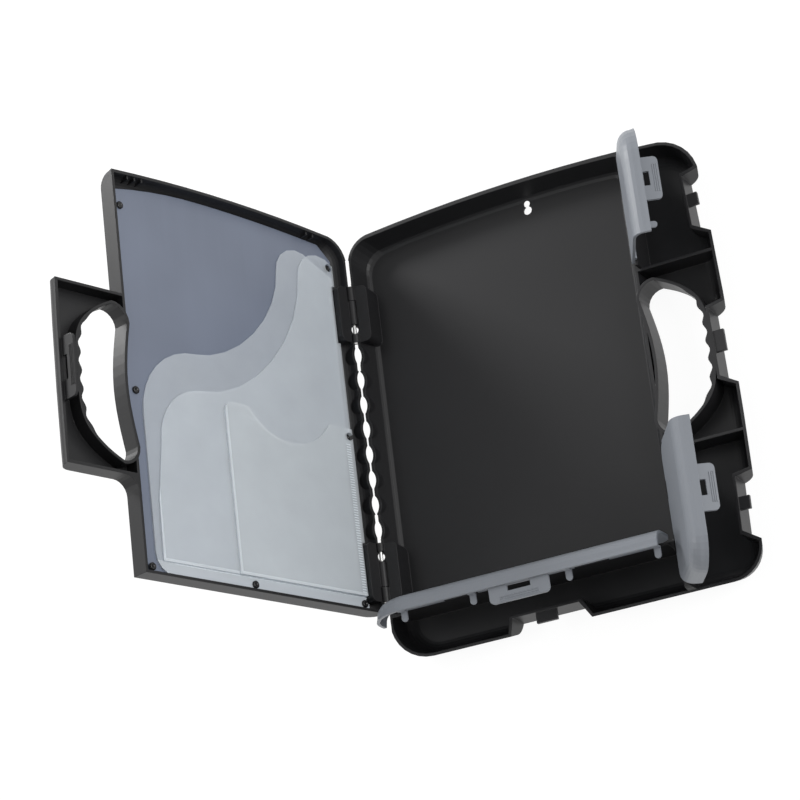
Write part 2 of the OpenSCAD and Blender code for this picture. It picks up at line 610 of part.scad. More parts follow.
// short ribs inside the top wall, between the rim and the sheet's edge
corner_ribs = [34, 41, cover_w - 31, cover_w - 24, cover_w - 17];
rib_t = 1.4;
rib_up = 1;
module cover_shell() {
    color(charcoal) on_cover() difference() {
        union() {
            difference() {
                union() {
                    intersection() {
                        upper_body(0);
                        translate([0, 0, rim_hi - cut]) linear_extrude(close_h) polygon(cover_region);
                    }
                    spine_wall(close_h, rim_hi);
                }
                difference() {
                    intersection() {
                        upper_body(wall_t);
                        translate([0, 0, rim_hi - 2 * wall_t]) linear_extrude(close_h) {
                            polygon(cover_hollow);
                            polygon(box_hollow);
                            polygon(collar_hollow);
                        }
                    }
                    grip_prism(collar_t, 0, close_h);
                    scallop_row(web_t, 0, close_h);
                    hinge_block(0, 0, close_h);
                    translate([0, spine_y0, 0]) cube([spine_x + wall_t, spine_y1 - spine_y0, close_h]);
                    for (x = corner_ribs)
                        translate([x, arch_y(x) - sheet_rim + sheet_gap / 2, rim_hi + rib_up])
                            cube([rib_t, 2 * sheet_rim, cover_h]);
                    for (r = rivets) translate([r[0], r[1], boss_z]) cylinder(r = boss_r, h = cover_h);
                }
            }
            at_latch(latch_cover) latch_tab(latch_cover);
            for (y = hinge_ys) y_rod(0, base_h, hinge_r, cover_span(y)[0], cover_span(y)[1]);
        }
        grip_prism(0, 0, close_h + cut);
        scallop_row(0, 0, close_h + cut);
        hinge_notches(0, close_h + cut);
        for (r = rivets) translate([r[0], r[1], boss_z - cut])
            cylinder(r = rivet_r + pin_fit, h = rivet_grip + 0.5 + cut);
        for (y = hinge_ys) {
            y_rod(0, base_h, hinge_pin_r + pin_fit, y - hinge_len, y + hinge_len);
            for (s = base_spans(y))
                y_rod(0, base_h, hinge_r + knuckle_gap, s[0] - knuckle_gap, s[1] + knuckle_gap);
        }
        for (x = clip_rivet_x) translate([x, clip_y0 + clip_l / 2, close_h - wall_t - cut])
            cylinder(r = rivet_r + pin_fit, h = wall_t + 2 * cut);
    }
}
module hinge_pin(y) {
    color(steel) in_case() y_rod(0, base_h, hinge_pin_r, y - hinge_len / 2, y + hinge_len / 2);
}
module upper_hinge_pin() { hinge_pin(hinge_hi_y); }
module lower_hinge_pin() { hinge_pin(hinge_lo_y); }

// ---- lids ----
// top skin and rim band of a lid, cut from the closed case by a box
module lid_skin(x0, x1, y0, y1) {
    intersection() {
        difference() {
            upper_body(0);
            upper_body(wall_t);
        }
        translate([x0, y0, rim_hi]) cube([x1 - x0, y1 - y0, close_h]);
    }
}
bin_tongue_in = 5.4;
bin_tongue_up = 9;                                  // from the handle box to the upper bin lid's tongue
tray_tongue_in = 7.6;
tongue_far = 97;                                    // of the tray lid's tongues, from its latch
tongue_near = 39.5;
tray_tongues = [latch_tray_x - tongue_far, latch_tray_x - tongue_near, latch_tray_x + tongue_near - 0.5,
                pencil_x1 - tongue_w / 2 - 0.6];
// cuts the round corner of a lid beside its hinge line, about the corner's centre, turned by a
module corner_cut(x, y, a) {
    translate([x, y, rim_lo]) rotate([0, 0, a]) linear_extrude(close_h) difference() {
        square(lid_corner + far);
        circle(r = lid_corner, $fn = 64);
        translate([lid_corner + cut, 0]) square(far);
    }
}
module bin_lid(span, ks, y0, y1, latch, tongues) {
    spans = between(span, ks);
    difference() {
        union() {
            lid_skin(bin_axis_x, case_w + far, y0, y1);
            for (s = spans) y_rod(bin_axis_x, axis_z, knuckle_r, s[0], s[1]);
            at_latch(latch) latch_tab(latch);
            for (y = tongues) at_latch([side_turn(y), side_x(y), y]) tongue(bin_tongue_in, tongue_short);
        }
        y_rod(bin_axis_x, axis_z, lid_pin_r + pin_fit, y0 - cut, y1 + cut);
        for (k = ks)
            y_rod(bin_axis_x, axis_z, knuckle_r + knuckle_gap, k[0] - knuckle_gap, k[1] + knuckle_gap);
    }
}
module upper_bin_lid() {
    color(lid_grey) turn_bin_lid(upper_open)
        bin_lid(upper_span, upper_knuckles, box_y1 + lid_end, case_l + far, latch_upper, [box_y1 + bin_tongue_up]);
}
// the lower lid is cut back under the fillet of the cover's handle box, so that it clears it as it opens
fillet_room = 3.3;
module lower_bin_lid() {
    color(lid_grey) turn_bin_lid(lower_open) difference() {
        bin_lid(lower_span, lower_knuckles, -far, box_y0 - lid_end, latch_lower, []);
        translate([cover_w + throat_r, box_y0 - throat_r, 0]) difference() {
            translate([-throat_r - far, 0, 0]) cube([throat_r + far, throat_r + far, close_h + cut]);
            cylinder(r = throat_r - fillet_room, h = close_h + cut);
        }
        corner_cut(bin_axis_x + lid_corner, lid_corner, 180);
    }
}
module pencil_lid() {
    spans = between(pencil_span, pencil_knuckles);
    color(lid_grey) turn_pencil_lid(pencil_open) difference() {
        union() {
            lid_skin(-far, pencil_x1, -far, tray_axis_y);
            for (s = spans) x_rod(tray_axis_y, axis_z, knuckle_r, s[0], s[1]);
            at_latch(latch_tray) latch_tab(latch_tray);
            for (x = tray_tongues) at_latch([-90, x, 0]) tongue(tray_tongue_in, tongue_long);
        }
        x_rod(tray_axis_y, axis_z, lid_pin_r + pin_fit, -far, pencil_x1 + cut);
        for (k = pencil_knuckles)
            x_rod(tray_axis_y, axis_z, knuckle_r + knuckle_gap, k[0] - knuckle_gap, k[1] + knuckle_gap);
        corner_cut(pencil_x1 - lid_corner, tray_axis_y - lid_corner, 0);
    }
}
pin_over = 8;                                       // how far a lid pin runs past its base knuckle
module pencil_lid_pins() {
    color(steel) in_case() for (k = pencil_knuckles)
        x_rod(tray_axis_y, axis_z, lid_pin_r, k[0] - pin_over, k[1] + pin_over);
}
module bin_pins(ks) {
    color(steel) in_case() for (k = ks)
        y_rod(bin_axis_x, axis_z, lid_pin_r, k[0] - pin_over, k[1] + pin_over);
}
module upper_lid_pins() { bin_pins(upper_knuckles); }
module lower_lid_pins() { bin_pins(lower_knuckles); }

// ---- sheet and pockets ----
top_n = 12;
sheet_corner = [13, 12];                            // chamfer of the sheet beside the hinge
sheet_dip = 6;                                      // extra fall of its top edge beside the handle
module sheet_plan() {
    x0 = sheet_x0 + sheet_corner[0];
    top = [for (k = [0:top_n]) let (x = sheet_x1 + (x0 - sheet_x1) * k / top_n)
        [x, arch_y(x) - sheet_rim - sheet_dip * pow(max(0, (x - case_w / 2) / (sheet_x1 - case_w / 2)), 2)]];
    bulge = [for (k = [-top_n:2:top_n]) let (s = k / top_n * grip_flat)
        [max(sheet_x1, grip_left(s) - collar_t - sheet_gap), handle_y + s]];
    difference() {
        polygon(concat([[sheet_x0, sheet_y0], [sheet_x1, sheet_y0]], bulge, top,
                       [[sheet_x0, arch_y(x0) - sheet_rim - sheet_corner[1]]]));
        block_plan();
    }
}
// clearance round the hinge blocks
module block_plan() {
    for (y = hinge_ys) translate([0, y - hinge_len / 2 - sheet_gap])
        square([hinge_block_w + sheet_gap, hinge_len + 2 * sheet_gap]);
}
module rivet_plan(r, list) {
    for (k = list) translate(rivets[k]) circle(r);
}
edge_rivets = 3;                                    // the first ones go through the rear pocket too
all_rivets = [0:len(rivets) - 1];
sheet_rivets = [edge_rivets:len(rivets) - 1];
module backing_sheet() {
    color(clear_blue) on_cover() translate([0, 0, sheet_z]) linear_extrude(sheet_t) difference() {
        sheet_plan();
        rivet_plan(rivet_r + pin_fit, all_rivets);
    }
}
// a pocket's free edge: shoulder beside the handle, hollow sweep, round top beside the hinge
pocket_x0 = sheet_x0 + 1;
edge_n = 8;
sweep_e = 1.18;                                     // how full the sweep between shoulder and top is
function sweep(x0, y0, x1, y1) = [for (k = [1:edge_n]) let (a = 90 * k / edge_n)
    [x0 - (x0 - x1) * pow(sin(a), sweep_e), y1 - (y1 - y0) * pow(cos(a), sweep_e)]];
function free_edge(x1, sh_r, sh_y, lobe_x, lobe_y) = concat(
    arc_pts(x1 - sh_r, sh_y - sh_r, sh_r, 0, 90, edge_n),
    sweep(x1 - sh_r, sh_y, lobe_x + lobe_r, lobe_y),
    [for (k = [1:6]) let (a = 22 * k) [lobe_x + lobe_r * cos(a), lobe_y + lobe_r * sin(a)]]);
// one film, with welds along its lower and side edges that hold it off the sheet or film behind it
module pocket(level, plan, y0, weld_y1, x1) {
    top = sheet_z - (level - 1) * (pocket_t + pocket_room);
    color(clear_film) on_cover() {
        translate([0, 0, top - pocket_room - pocket_t]) linear_extrude(pocket_t) film(level, plan);
        translate([0, 0, top - pocket_room]) linear_extrude(pocket_room) intersection() {
            film(level, plan);
            union() {
                translate([0, y0]) square([x1, weld_y1 - y0]);
                translate([0, y0]) square([hinge_block_w + sheet_gap + weld_w, case_l]);
                translate([x1 - weld_w, y0]) square([weld_w, case_l]);
            }
        }
    }
}
module film(level, plan) {
    difference() {
        polygon(plan);
        block_plan();
        rivet_plan(boss_r, sheet_rivets);
        if (level == 1) rivet_plan(rivet_r + pin_fit, [0:edge_rivets - 1]);
    }
}
rear_x1 = sheet_x1 - 10;
rear_y0 = sheet_y0 + 1;
foot_corner = 16;                                   // round lower corner of the rear pocket
shoulder_y = case_l - shoulder_drop;
lobe_y = case_l - lobe_drop;
lobe_rear = pocket_x0 + 38;
lobe_mid = pocket_x0 + 16;
front_y0 = rear_y0 + 2 * rivet_in;                  // lower edge of the middle and disc pockets
module rear_pocket() {
    pocket(1, concat([[pocket_x0, rear_y0]],
        arc_pts(rear_x1 - foot_corner, rear_y0 + foot_corner, foot_corner, 270, 360, 4),
        free_edge(rear_x1, shoulder_r, shoulder_y, lobe_rear, lobe_y), [[pocket_x0, lobe_y + lobe_r * 0.3]]),
        rear_y0, front_y0, rear_x1);
}
mid_x1 = rear_x1 - 6;
mid_less = 10;                                      // how much rounder the rear pocket's shoulder is
mid_lean = 8;                                       // fall of the middle pocket's side towards its shoulder
mid_r = shoulder_r - mid_less;
module middle_pocket() {
    pocket(2, concat([[pocket_x0, front_y0], [mid_x1, front_y0], [mid_x1 - 1, front_y0 + mid_r]],
        free_edge(mid_x1 - mid_lean, mid_r, shoulder_y - pocket_step, lobe_mid, lobe_y),
        [[pocket_x0, lobe_y]]), front_y0, front_y0 + weld_w, mid_x1);
}
// the disc pocket's upper edge has a thumb notch
thumb_r = 50;
thumb_a = 32;
disc_r = 8;
module front_pocket() {
    x1 = pocket_x0 + disc_w;
    y1 = front_y0 + disc_h;
    xm = pocket_x0 + disc_w / 2;
    pocket(3, concat([[pocket_x0, front_y0], [x1, front_y0]], arc_pts(x1 - disc_r, y1 - disc_r, disc_r, 0, 90, 4),
        [for (k = [0:edge_n]) let (a = -thumb_a + (2 * thumb_a - 180) * k / edge_n)
            [xm + thumb_r * cos(a), y1 + thumb_r * (sin(thumb_a) + sin(a))]],
        [[pocket_x0, y1]]), front_y0, front_y0 + weld_w, x1);
}
rivet_h = 1.2;
rivet_grip = 3.5;                                   // length of a rivet in its boss
module pocket_rivets() {
    color(charcoal) on_cover() for (k = all_rivets) translate(rivets[k]) {
        face = sheet_z - (k < edge_rivets ? pocket_t + pocket_room : 0);
        translate([0, 0, face - rivet_h]) cylinder(r = rivet_head, h = rivet_h);
        translate([0, 0, face - rivet_h]) cylinder(r = rivet_r, h = boss_z + rivet_grip - face + rivet_h);
    }
}

// ---- clip on the outside of the cover ----
clip_x = cover_w / 2;
clip_y0 = case_l - clip_drop - clip_l;              // lower edge of the base plate
clip_rivet_x = [clip_x - clip_w * 0.32, clip_x + clip_w * 0.32];
clip_axis_y = clip_y0 + clip_l * 0.55;
clip_axis_z = close_h + clip_pin_z;
ear_t = clip_t;
ear_x = clip_w * 0.22;                              // ears stand this far from the middle
ear_r = clip_pin_r * 2.2;
ear_foot = ear_r * 2.3;
plate_in = 4;                                       // the base plate is this much narrower at each end
ear_over = 2;                                       // how far the pin runs past the ears
module clip_bore() {
    run = ear_x + 2 * ear_over;
    x_rod(clip_axis_y, clip_axis_z, clip_pin_r + pin_fit, clip_x - run, clip_x + run);
}
module clip_base() {
    color(steel) on_cover() difference() {
        union() {
            translate([clip_x - clip_w / 2 + plate_in, clip_y0, close_h])
                cube([clip_w - 2 * plate_in, clip_l, clip_t]);
            for (s = [-1, 1]) translate([clip_x + s * ear_x - ear_t / 2, clip_axis_y, close_h]) hull() {
                translate([0, -ear_foot, 0]) cube([ear_t, 2 * ear_foot, clip_t]);
                translate([0, 0, clip_pin_z]) rotate([0, 90, 0]) cylinder(r = ear_r, h = ear_t);
            }
        }
        clip_bore();
        for (x = clip_rivet_x) translate([x, clip_y0 + clip_l / 2, close_h - cut])
            cylinder(r = rivet_r + pin_fit, h = clip_t + 2 * cut);
    }
}
jaw_gap = 0.3;
jaw_front = clip_l * 0.765;                         // from the pin to the biting edge
jaw_back = clip_l * 0.65;                           // from the pin to the thumb edge
jaw_rise = clip_pin_z + 3.8;                        // height of the jaw over the pin
// side profile of the jaw: [share of its reach from the pin, share of its rise]
jaw_front_top = [[-1, 0], [-0.96, 0.31], [-0.77, 0.65], [-0.38, 0.9], [0, 1]];
jaw_back_top = [[0.4, 0.98], [0.73, 0.9], [1, 0.94]];
jaw_top = concat([for (p = jaw_front_top) [p[0] * jaw_front, p[1] * jaw_rise]],
                 [for (p = jaw_back_top) [p[0] * jaw_back, p[1] * jaw_rise]]);
module jaw_profile() {
    n = len(jaw_top);
    polygon(concat([for (p = jaw_top) [p[0], p[1] + jaw_gap]],
                   [for (k = [n - 1:-1:0]) let (p = jaw_top[k])
                       [p[0] + (k < 2 ? clip_t : 0), max(jaw_gap, p[1] + jaw_gap - clip_t)]]));
}
cheek_gap = 0.6;                                    // between a cheek of the jaw and its ear
cheek_l = ear_r * 1.5;
module clip_jaw() {
    color(steel) on_cover() difference() {
        union() {
            translate([clip_x - clip_w / 2, clip_axis_y, close_h]) rotate([90, 0, 90])
                linear_extrude(clip_w) jaw_profile();
            for (s = [-1, 1])
                translate([clip_x + s * (ear_x - ear_t - cheek_gap) - ear_t / 2, clip_axis_y - cheek_l,
                           clip_axis_z - 2 * clip_pin_r])
                cube([ear_t, 2 * cheek_l, close_h + jaw_rise - clip_axis_z + 2 * clip_pin_r - clip_t / 2]);
        }
        clip_bore();
    }
}
module clip_pin() {
    color(steel) on_cover()
        x_rod(clip_axis_y, clip_axis_z, clip_pin_r, clip_x - ear_x - ear_over, clip_x + ear_x + ear_over);
}
// coil spring wound round the pin, swept as rings along a helix
turns = 6;
turn_n = 14;
wire_n = 6;
coil_pitch = wire_r * 2 + 0.25;
module coil(x0) {
    m = turns * turn_n;
    pts = [for (j = [0:m]) let (a = 360 * j / turn_n, r = coil_r, x = x0 + coil_pitch * j / turn_n)
        for (k = [0:wire_n - 1]) let (b = 360 * k / wire_n, q = r + wire_r * cos(b))
            [x - wire_r * sin(b), q * cos(a), q * sin(a)]];
    sides = [for (j = [0:m - 1]) for (k = [0:wire_n - 1])
        let (a = j * wire_n + k, b = j * wire_n + (k + 1) % wire_n)
            each [[a, b + wire_n, b], [a, a + wire_n, b + wire_n]]];
    polyhedron(pts, concat(sides, [[for (k = [0:wire_n - 1]) k], [for (k = [wire_n - 1:-1:0]) m * wire_n + k]]));
}
module clip_spring() {
    run = turns * coil_pitch;
    edge = ear_x - ear_t * 1.5 - cheek_gap - wire_r * 2 - 0.5;    // inner side of the cheeks
    color(steel) on_cover() translate([clip_x, clip_axis_y, clip_axis_z]) {
        coil(-edge);
        coil(edge - run);
    }
}
foot_t = 0.8;                                       // thickness of a rivet's inner head
module clip_rivets() {
    color(steel) on_cover() for (x = clip_rivet_x) translate([x, clip_y0 + clip_l / 2, 0]) {
        translate([0, 0, close_h + clip_t]) cylinder(r = rivet_head, h = rivet_h);
        translate([0, 0, close_h - wall_t - foot_t]) cylinder(r = rivet_r, h = wall_t + clip_t + rivet_h + foot_t);
        translate([0, 0, close_h - wall_t - foot_t]) cylinder(r = rivet_head, h = foot_t);
    }
}
grip_pad = [10, 1.5, 2];                            // rubber pads under the biting edge
module clip_grips() {
    color(rubber) on_cover() for (s = [-1, 1])
        translate([clip_x + s * (clip_w / 2 - grip_pad[0]) - grip_pad[0] / 2,
                   clip_axis_y - jaw_front + clip_t + 0.3 + grip_pad[1] / 2, close_h + jaw_gap]) cube(grip_pad);
}

base_tray();
cover_shell();
upper_hinge_pin();
lower_hinge_pin();
pencil_lid();
upper_bin_lid();
lower_bin_lid();
pencil_lid_pins();
upper_lid_pins();
lower_lid_pins();
backing_sheet();
rear_pocket();
middle_pocket();
front_pocket();
pocket_rivets();
clip_base();
clip_jaw();
clip_pin();
clip_spring();
clip_rivets();
clip_grips();
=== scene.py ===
"""Finishes of a storage clipboard case: moulded shells and lids, backing sheet, pockets, pins and clip."""

import json
import math

import bmesh
import bpy
from bpy.props import FloatProperty, FloatVectorProperty, PointerProperty
from mathutils import Euler, Matrix, Vector


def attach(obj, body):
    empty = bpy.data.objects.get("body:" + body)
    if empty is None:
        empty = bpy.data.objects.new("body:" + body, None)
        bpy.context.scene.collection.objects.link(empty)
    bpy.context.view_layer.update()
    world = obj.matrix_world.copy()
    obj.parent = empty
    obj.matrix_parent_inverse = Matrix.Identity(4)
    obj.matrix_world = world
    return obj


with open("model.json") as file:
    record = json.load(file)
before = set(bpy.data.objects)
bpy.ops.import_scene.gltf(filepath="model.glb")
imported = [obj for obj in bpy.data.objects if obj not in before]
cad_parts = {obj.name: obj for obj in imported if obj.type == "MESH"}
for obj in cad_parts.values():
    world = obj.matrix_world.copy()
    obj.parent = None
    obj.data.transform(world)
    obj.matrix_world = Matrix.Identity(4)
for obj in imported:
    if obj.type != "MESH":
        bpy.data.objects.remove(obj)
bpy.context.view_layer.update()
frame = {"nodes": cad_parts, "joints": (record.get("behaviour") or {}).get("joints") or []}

bl_info = {
    "name": "Storage Clipboard Case",
    "version": (1, 0, 0),
    "blender": (4, 5, 0),
    "location": "3D View > Sidebar > Clipboard Case",
    "description": "Gives a storage clipboard case its moulded, sheet, film and metal finishes",
    "category": "Object",
}

MM = 0.001

CASE_NODES = ("base_tray", "cover_shell")
LID_NODES = ("pencil_lid", "upper_bin_lid", "lower_bin_lid")
POCKET_NODES = ("rear_pocket", "middle_pocket", "front_pocket")
WIRE_NODES = (
    "upper_hinge_pin",
    "lower_hinge_pin",
    "pencil_lid_pins",
    "upper_lid_pins",
    "lower_lid_pins",
    "clip_pin",
    "clip_spring",
)
NICKEL_NODES = ("clip_base", "clip_jaw", "clip_rivets")


# ---- places in the cover ----
# The cover's own axes: x runs across it from the hinge, y along the hinge, z from its rim to its back.
COVER_JOINT = next(joint for joint in frame["joints"] if joint["name"] == "cover_hinge")
COVER_OPEN = math.radians(-COVER_JOINT["range_deg"][0])
HINGE = Vector(COVER_JOINT["pos_m"])
COVER_PLACE = Matrix.Translation(HINGE) @ Matrix.Rotation(-COVER_OPEN, 4, "Y")
COVER_AXES = tuple(COVER_PLACE.to_3x3().col[k].copy() for k in range(3))


def in_cover(name):
    """Points of a node in the cover's own axes."""
    turn = COVER_PLACE.inverted() @ frame["nodes"][name].matrix_world
    return [turn @ vertex.co for vertex in frame["nodes"][name].data.vertices]


def corners(points):
    """Lowest and highest corner of the box round some points."""
    return tuple(Vector(pick(point[k] for point in points) for k in range(3)) for pick in (min, max))


REAR, MIDDLE, FRONT = (corners(in_cover(name)) for name in POCKET_NODES)


# ---- shader expressions ----
class Value:
    """A shader output that adds Math nodes when it is used in an expression."""

    def __init__(self, graph, output):
        self.graph = graph
        self.output = output

    def math(self, operation, *others):
        """One Math node on this value and the others."""
        return self.graph.node("ShaderNodeMath", {"operation": operation}, dict(enumerate((self, *others))))

    def __add__(self, other):
        return self.math("ADD", other)

    def __mul__(self, other):
        return self.math("MULTIPLY", other)

    def __sub__(self, other):
        return self.math("SUBTRACT", other)

    def __rsub__(self, other):
        return self.graph.node("ShaderNodeMath", {"operation": "SUBTRACT"}, {0: other, 1: self})

    __radd__ = __add__
    __rmul__ = __mul__

    def ramp(self, low, high):
        """0 at low, 1 at high, with a soft start and end; it falls where low is the larger."""
        if low > high:
            return 1 - self.ramp(high, low)
        return self.graph.node(
            "ShaderNodeMapRange",
            {"interpolation_type": "SMOOTHSTEP"},
            {"Value": self, "From Min": low, "From Max": high},
        )

    def within(self, low, high, soft):
        """1 between low and high, 0 outside, over a soft width at each end."""
        return self.ramp(low - soft, low) * self.ramp(high + soft, high)


class Graph:
    """The node tree of a material or of the world."""

    def __init__(self, owner):
        self.owner = owner
        self.owner.use_nodes = True
        self.tree = self.owner.node_tree
        self.tree.nodes.clear()

    def node(self, kind, settings=None, values=None, out=0):
        """Adds a node: its settings first, then the values or links of its sockets. Gives back its output."""
        node = self.tree.nodes.new(kind)
        for name, setting in (settings or {}).items():
            setattr(node, name, setting)
        for name, value in (values or {}).items():
            socket = node.inputs[name]
            if isinstance(value, Value):
                self.tree.links.new(value.output, socket)
            else:
                socket.default_value = value
        return Value(self, node.outputs[out]) if len(node.outputs) else None

    def place(self):
        """Place on the piece in metres, as a vector."""
        return self.node("ShaderNodeTexCoord", out="Object")

    def geometry(self, name):
        """One output of the surface's own geometry."""
        return self.node("ShaderNodeNewGeometry", out=name)

    def dot(self, vector, other):
        """How far one vector reaches along another."""
        return self.node("ShaderNodeVectorMath", {"operation": "DOT_PRODUCT"}, {0: vector, 1: other}, out=1)

    def cover_place(self):
        """Place in the cover's own axes, in metres: across, along the hinge, and depth."""
        point = self.node("ShaderNodeVectorMath", {"operation": "SUBTRACT"}, {0: self.place(), 1: HINGE})
        return [self.dot(point, axis) for axis in COVER_AXES]

    def noise(self, feature, detail=2, roughness=0.5, stretch=None):
        """Noise between 0 and 1 with features so many metres across, longer where stretch is under 1."""
        vector = self.place()
        if stretch:
            vector = self.node("ShaderNodeVectorMath", {"operation": "MULTIPLY"}, {0: vector, 1: stretch})
        return self.node(
            "ShaderNodeTexNoise",
            values={"Vector": vector, "Scale": 1 / feature, "Detail": detail, "Roughness": roughness},
        )

    def mix(self, factor, low, high):
        """Colour low where factor is 0 and high where it is 1."""
        return self.node("ShaderNodeMix", {"data_type": "RGBA"}, {0: factor, 6: low, 7: high}, out=2)

    def edges(self, radius):
        """Smoothed normal, and a mask that is 1 along sharp edges."""
        soft = self.node("ShaderNodeBevel", {"samples": 6}, {"Radius": radius})
        return soft, self.dot(soft, self.geometry("Normal")).ramp(0.995, 0.8)

    def bump(self, height, distance, strength=1.0, normal=None):
        """Normal of a surface raised by height times distance, on top of another normal if one is given."""
        values = {"Height": height, "Distance": distance, "Strength": strength}
        if normal:
            values["Normal"] = normal
        return self.node("ShaderNodeBump", values=values)

    def surface(self, **values):
        """Principled surface, with socket names written with _ for a space. Gives back the material."""
        named = {name.replace("_", " "): value for name, value in values.items()}
        named.setdefault("IOR", 1.5)
        shader = self.node("ShaderNodeBsdfPrincipled", values=named)
        self.node("ShaderNodeOutputMaterial", values={"Surface": shader})
        return self.owner

    def shows_backdrop(self):
        """1 for the rays that show what is behind: seen directly, mirrored or passed through."""
        kinds = ("Is Camera Ray", "Is Glossy Ray", "Is Transmission Ray")
        seen, mirrored, passed = (self.node("ShaderNodeLightPath", out=kind) for kind in kinds)
        return seen.math("MAXIMUM", mirrored).math("MAXIMUM", passed)


def material_graph(name):
    """The empty node tree of a new material."""
    return Graph(bpy.data.materials.new(name))


def rgba(colour, factor=1.0):
    """A colour times a factor, with full opacity."""
    return (*(min(1.0, part * factor) for part in colour), 1.0)


def dress(nodes, material):
    """Gives CAD nodes one material."""
    for name in nodes:
        mesh = frame["nodes"][name].data
        mesh.materials.clear()
        mesh.materials.append(material)


# ---- small pieces on the cover ----
def add_to_cover(name, draw, material):
    """Adds a mesh that draw makes in the cover's own axes, and lets it ride on the cover."""
    shape = bmesh.new()
    draw(shape)
    bmesh.ops.recalc_face_normals(shape, faces=shape.faces)
    mesh = bpy.data.meshes.new(name)
    shape.to_mesh(mesh)
    shape.free()
    mesh.transform(COVER_PLACE)
    mesh.materials.append(material)
    piece = bpy.data.objects.new(name, mesh)
    bpy.context.scene.collection.objects.link(piece)
    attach(piece, "cover")


def turned(shape, centre, profile, steps=28):
    """Adds a smooth surface turned about a line along the depth, from (radius, depth) pairs."""
    turns = [2 * math.pi * k / steps for k in range(steps)]
    rings = []
    for radius, depth in profile:
        circle = [(radius * math.cos(turn), radius * math.sin(turn)) for turn in turns]
        rings.append([shape.verts.new(centre + Vector((x, y, depth))) for x, y in circle])
    for low, high in zip(rings, rings[1:]):
        for k in range(steps):
            shape.faces.new((low[k - 1], low[k], high[k], high[k - 1])).smooth = True
    for ring in (rings[0], rings[-1]):
        shape.faces.new(ring)


def bead(shape, low, high, slope):
    """Adds a raised bar between two corners, with its front drawn in all round by slope."""
    rings = []
    for depth, step in ((high.z, 0), (low.z, slope)):
        x0, y0, x1, y1 = low.x + step, low.y + step, high.x - step, high.y - step
        rings.append([shape.verts.new((x, y, depth)) for x, y in ((x0, y0), (x1, y0), (x1, y1), (x0, y1))])
    for k in range(4):
        shape.faces.new((rings[0][k - 1], rings[0][k], rings[1][k], rings[1][k - 1]))
    for ring in rings:
        shape.faces.new(ring)


# the points of one rivet lie closer together than this
RIVET_SPACE = 8 * MM
# rivets nearer to the hinge than this stand in its row
RIVET_COLUMN = 30 * MM


def rivet_faces():
    """Middle of each rivet's face, in the cover's own axes."""
    groups = []
    for point in in_cover("pocket_rivets"):
        group = next((group for group in groups if (group[0].xy - point.xy).length < RIVET_SPACE), None)
        if group is None:
            groups.append([point])
        else:
            group.append(point)
    boxes = [corners(group) for group in groups]
    return [Vector((*((low + high) / 2).xy, low.z)) for low, high in boxes]


# radius and height in mm, from the rim over the rounded shoulder into the dimple in the middle
DOME = (
    (2.88, -0.02),
    (2.86, 0.2),
    (2.5, 0.52),
    (1.9, 0.68),
    (1.35, 0.62),
    (1.05, 0.36),
    (0.5, 0.26),
    (0.05, 0.25),
)


def draw_domes(shape):
    """Domed and dimpled faces of the rivets."""
    for face in rivet_faces():
        turned(shape, face, [(radius * MM, -height * MM) for radius, height in DOME])


# how far the back of a bead sits in its film, for the welds and for the pale lines that paint highlights
BEAD_SINK = 0.02 * MM

# size of a short weld across the cover, along it, and proud of the film
DASH = Vector((4.6, 1.0, 0.14)) * MM
DASH_SLOPE = 0.25 * MM
DASH_PITCH = 2.1 * MM
# from the disc pocket's hinge side
DASH_SIDE = 3.4 * MM


def draw_dashes(shape):
    """Row of short welds along the disc pocket's side next to the hinge, up to the first rivet."""
    start = Vector((FRONT[0].x + DASH_SIDE, FRONT[0].y + DASH_PITCH, FRONT[0].z - DASH.z))
    row = [face.y for face in rivet_faces() if face.x < RIVET_COLUMN and face.y > FRONT[0].y]
    room = min(row) - RIVET_SPACE / 2 - start.y
    for k in range(int(room / DASH_PITCH)):
        low = start + Vector((0, k * DASH_PITCH, 0))
        bead(shape, low, low + DASH + Vector((0, 0, BEAD_SINK)), DASH_SLOPE)


# the pale lines along the lower strip paint the highlight that the edges of the films catch
LINE_WIDTH = 0.7 * MM
LINE_RISE = 0.15 * MM
LINE_SLOPE = 0.2 * MM
# up from the rear pocket's lower edge, and down from the middle pocket's
LINE_ABOVE = 0.6 * MM
LINE_BELOW = 1.2 * MM
# from the rear pocket's hinge side and from its handle side
LINE_START = 1 * MM
LINE_END = 17 * MM


def draw_lines(shape):
    """Pale raised lines along both sides of the rear pocket's lower strip, which paint the highlight that the
    film's edges catch.
    """
    for along in (REAR[0].y + LINE_ABOVE, MIDDLE[0].y - LINE_BELOW):
        low = Vector((REAR[0].x + LINE_START, along, REAR[0].z - LINE_RISE))
        high = Vector((REAR[1].x - LINE_END, along + LINE_WIDTH, REAR[0].z + BEAD_SINK))
        bead(shape, low, high, LINE_SLOPE)


# ---- finishes ----
def moulded_plastic(name, colour, rough, worn):
    """Moulded plastic with a spark-eroded grain, faint flow marks and edges rubbed paler."""
    g = material_graph(name)
    soft, edge = g.edges(0.7 * MM)
    flow = g.noise(70 * MM, detail=3, stretch=(1, 0.5, 1)).ramp(0.3, 0.7)
    mottle = g.noise(3 * MM, detail=3, roughness=0.6)
    grain = g.noise(0.45 * MM, roughness=0.6)
    scratches = g.noise(2.2 * MM, detail=4, roughness=0.7, stretch=(1, 0.12, 1)).ramp(0.66, 0.8)
    handled = g.noise(40 * MM).ramp(0.45, 0.7)
    rubbed = edge * mottle.ramp(0.35, 0.6)
    shade = g.mix(flow, rgba(colour, 0.97), rgba(colour, 1.03))
    return g.surface(
        Base_Color=g.mix(rubbed * worn + scratches * handled * 0.12, shade, rgba(colour, 2.1)),
        Roughness=(rough - 0.03) + mottle * 0.06 - rubbed * 0.08,
        Normal=g.bump(grain + mottle * 0.1, 0.05 * MM, 0.35, soft),
        Specular_IOR_Level=0.3,
    )


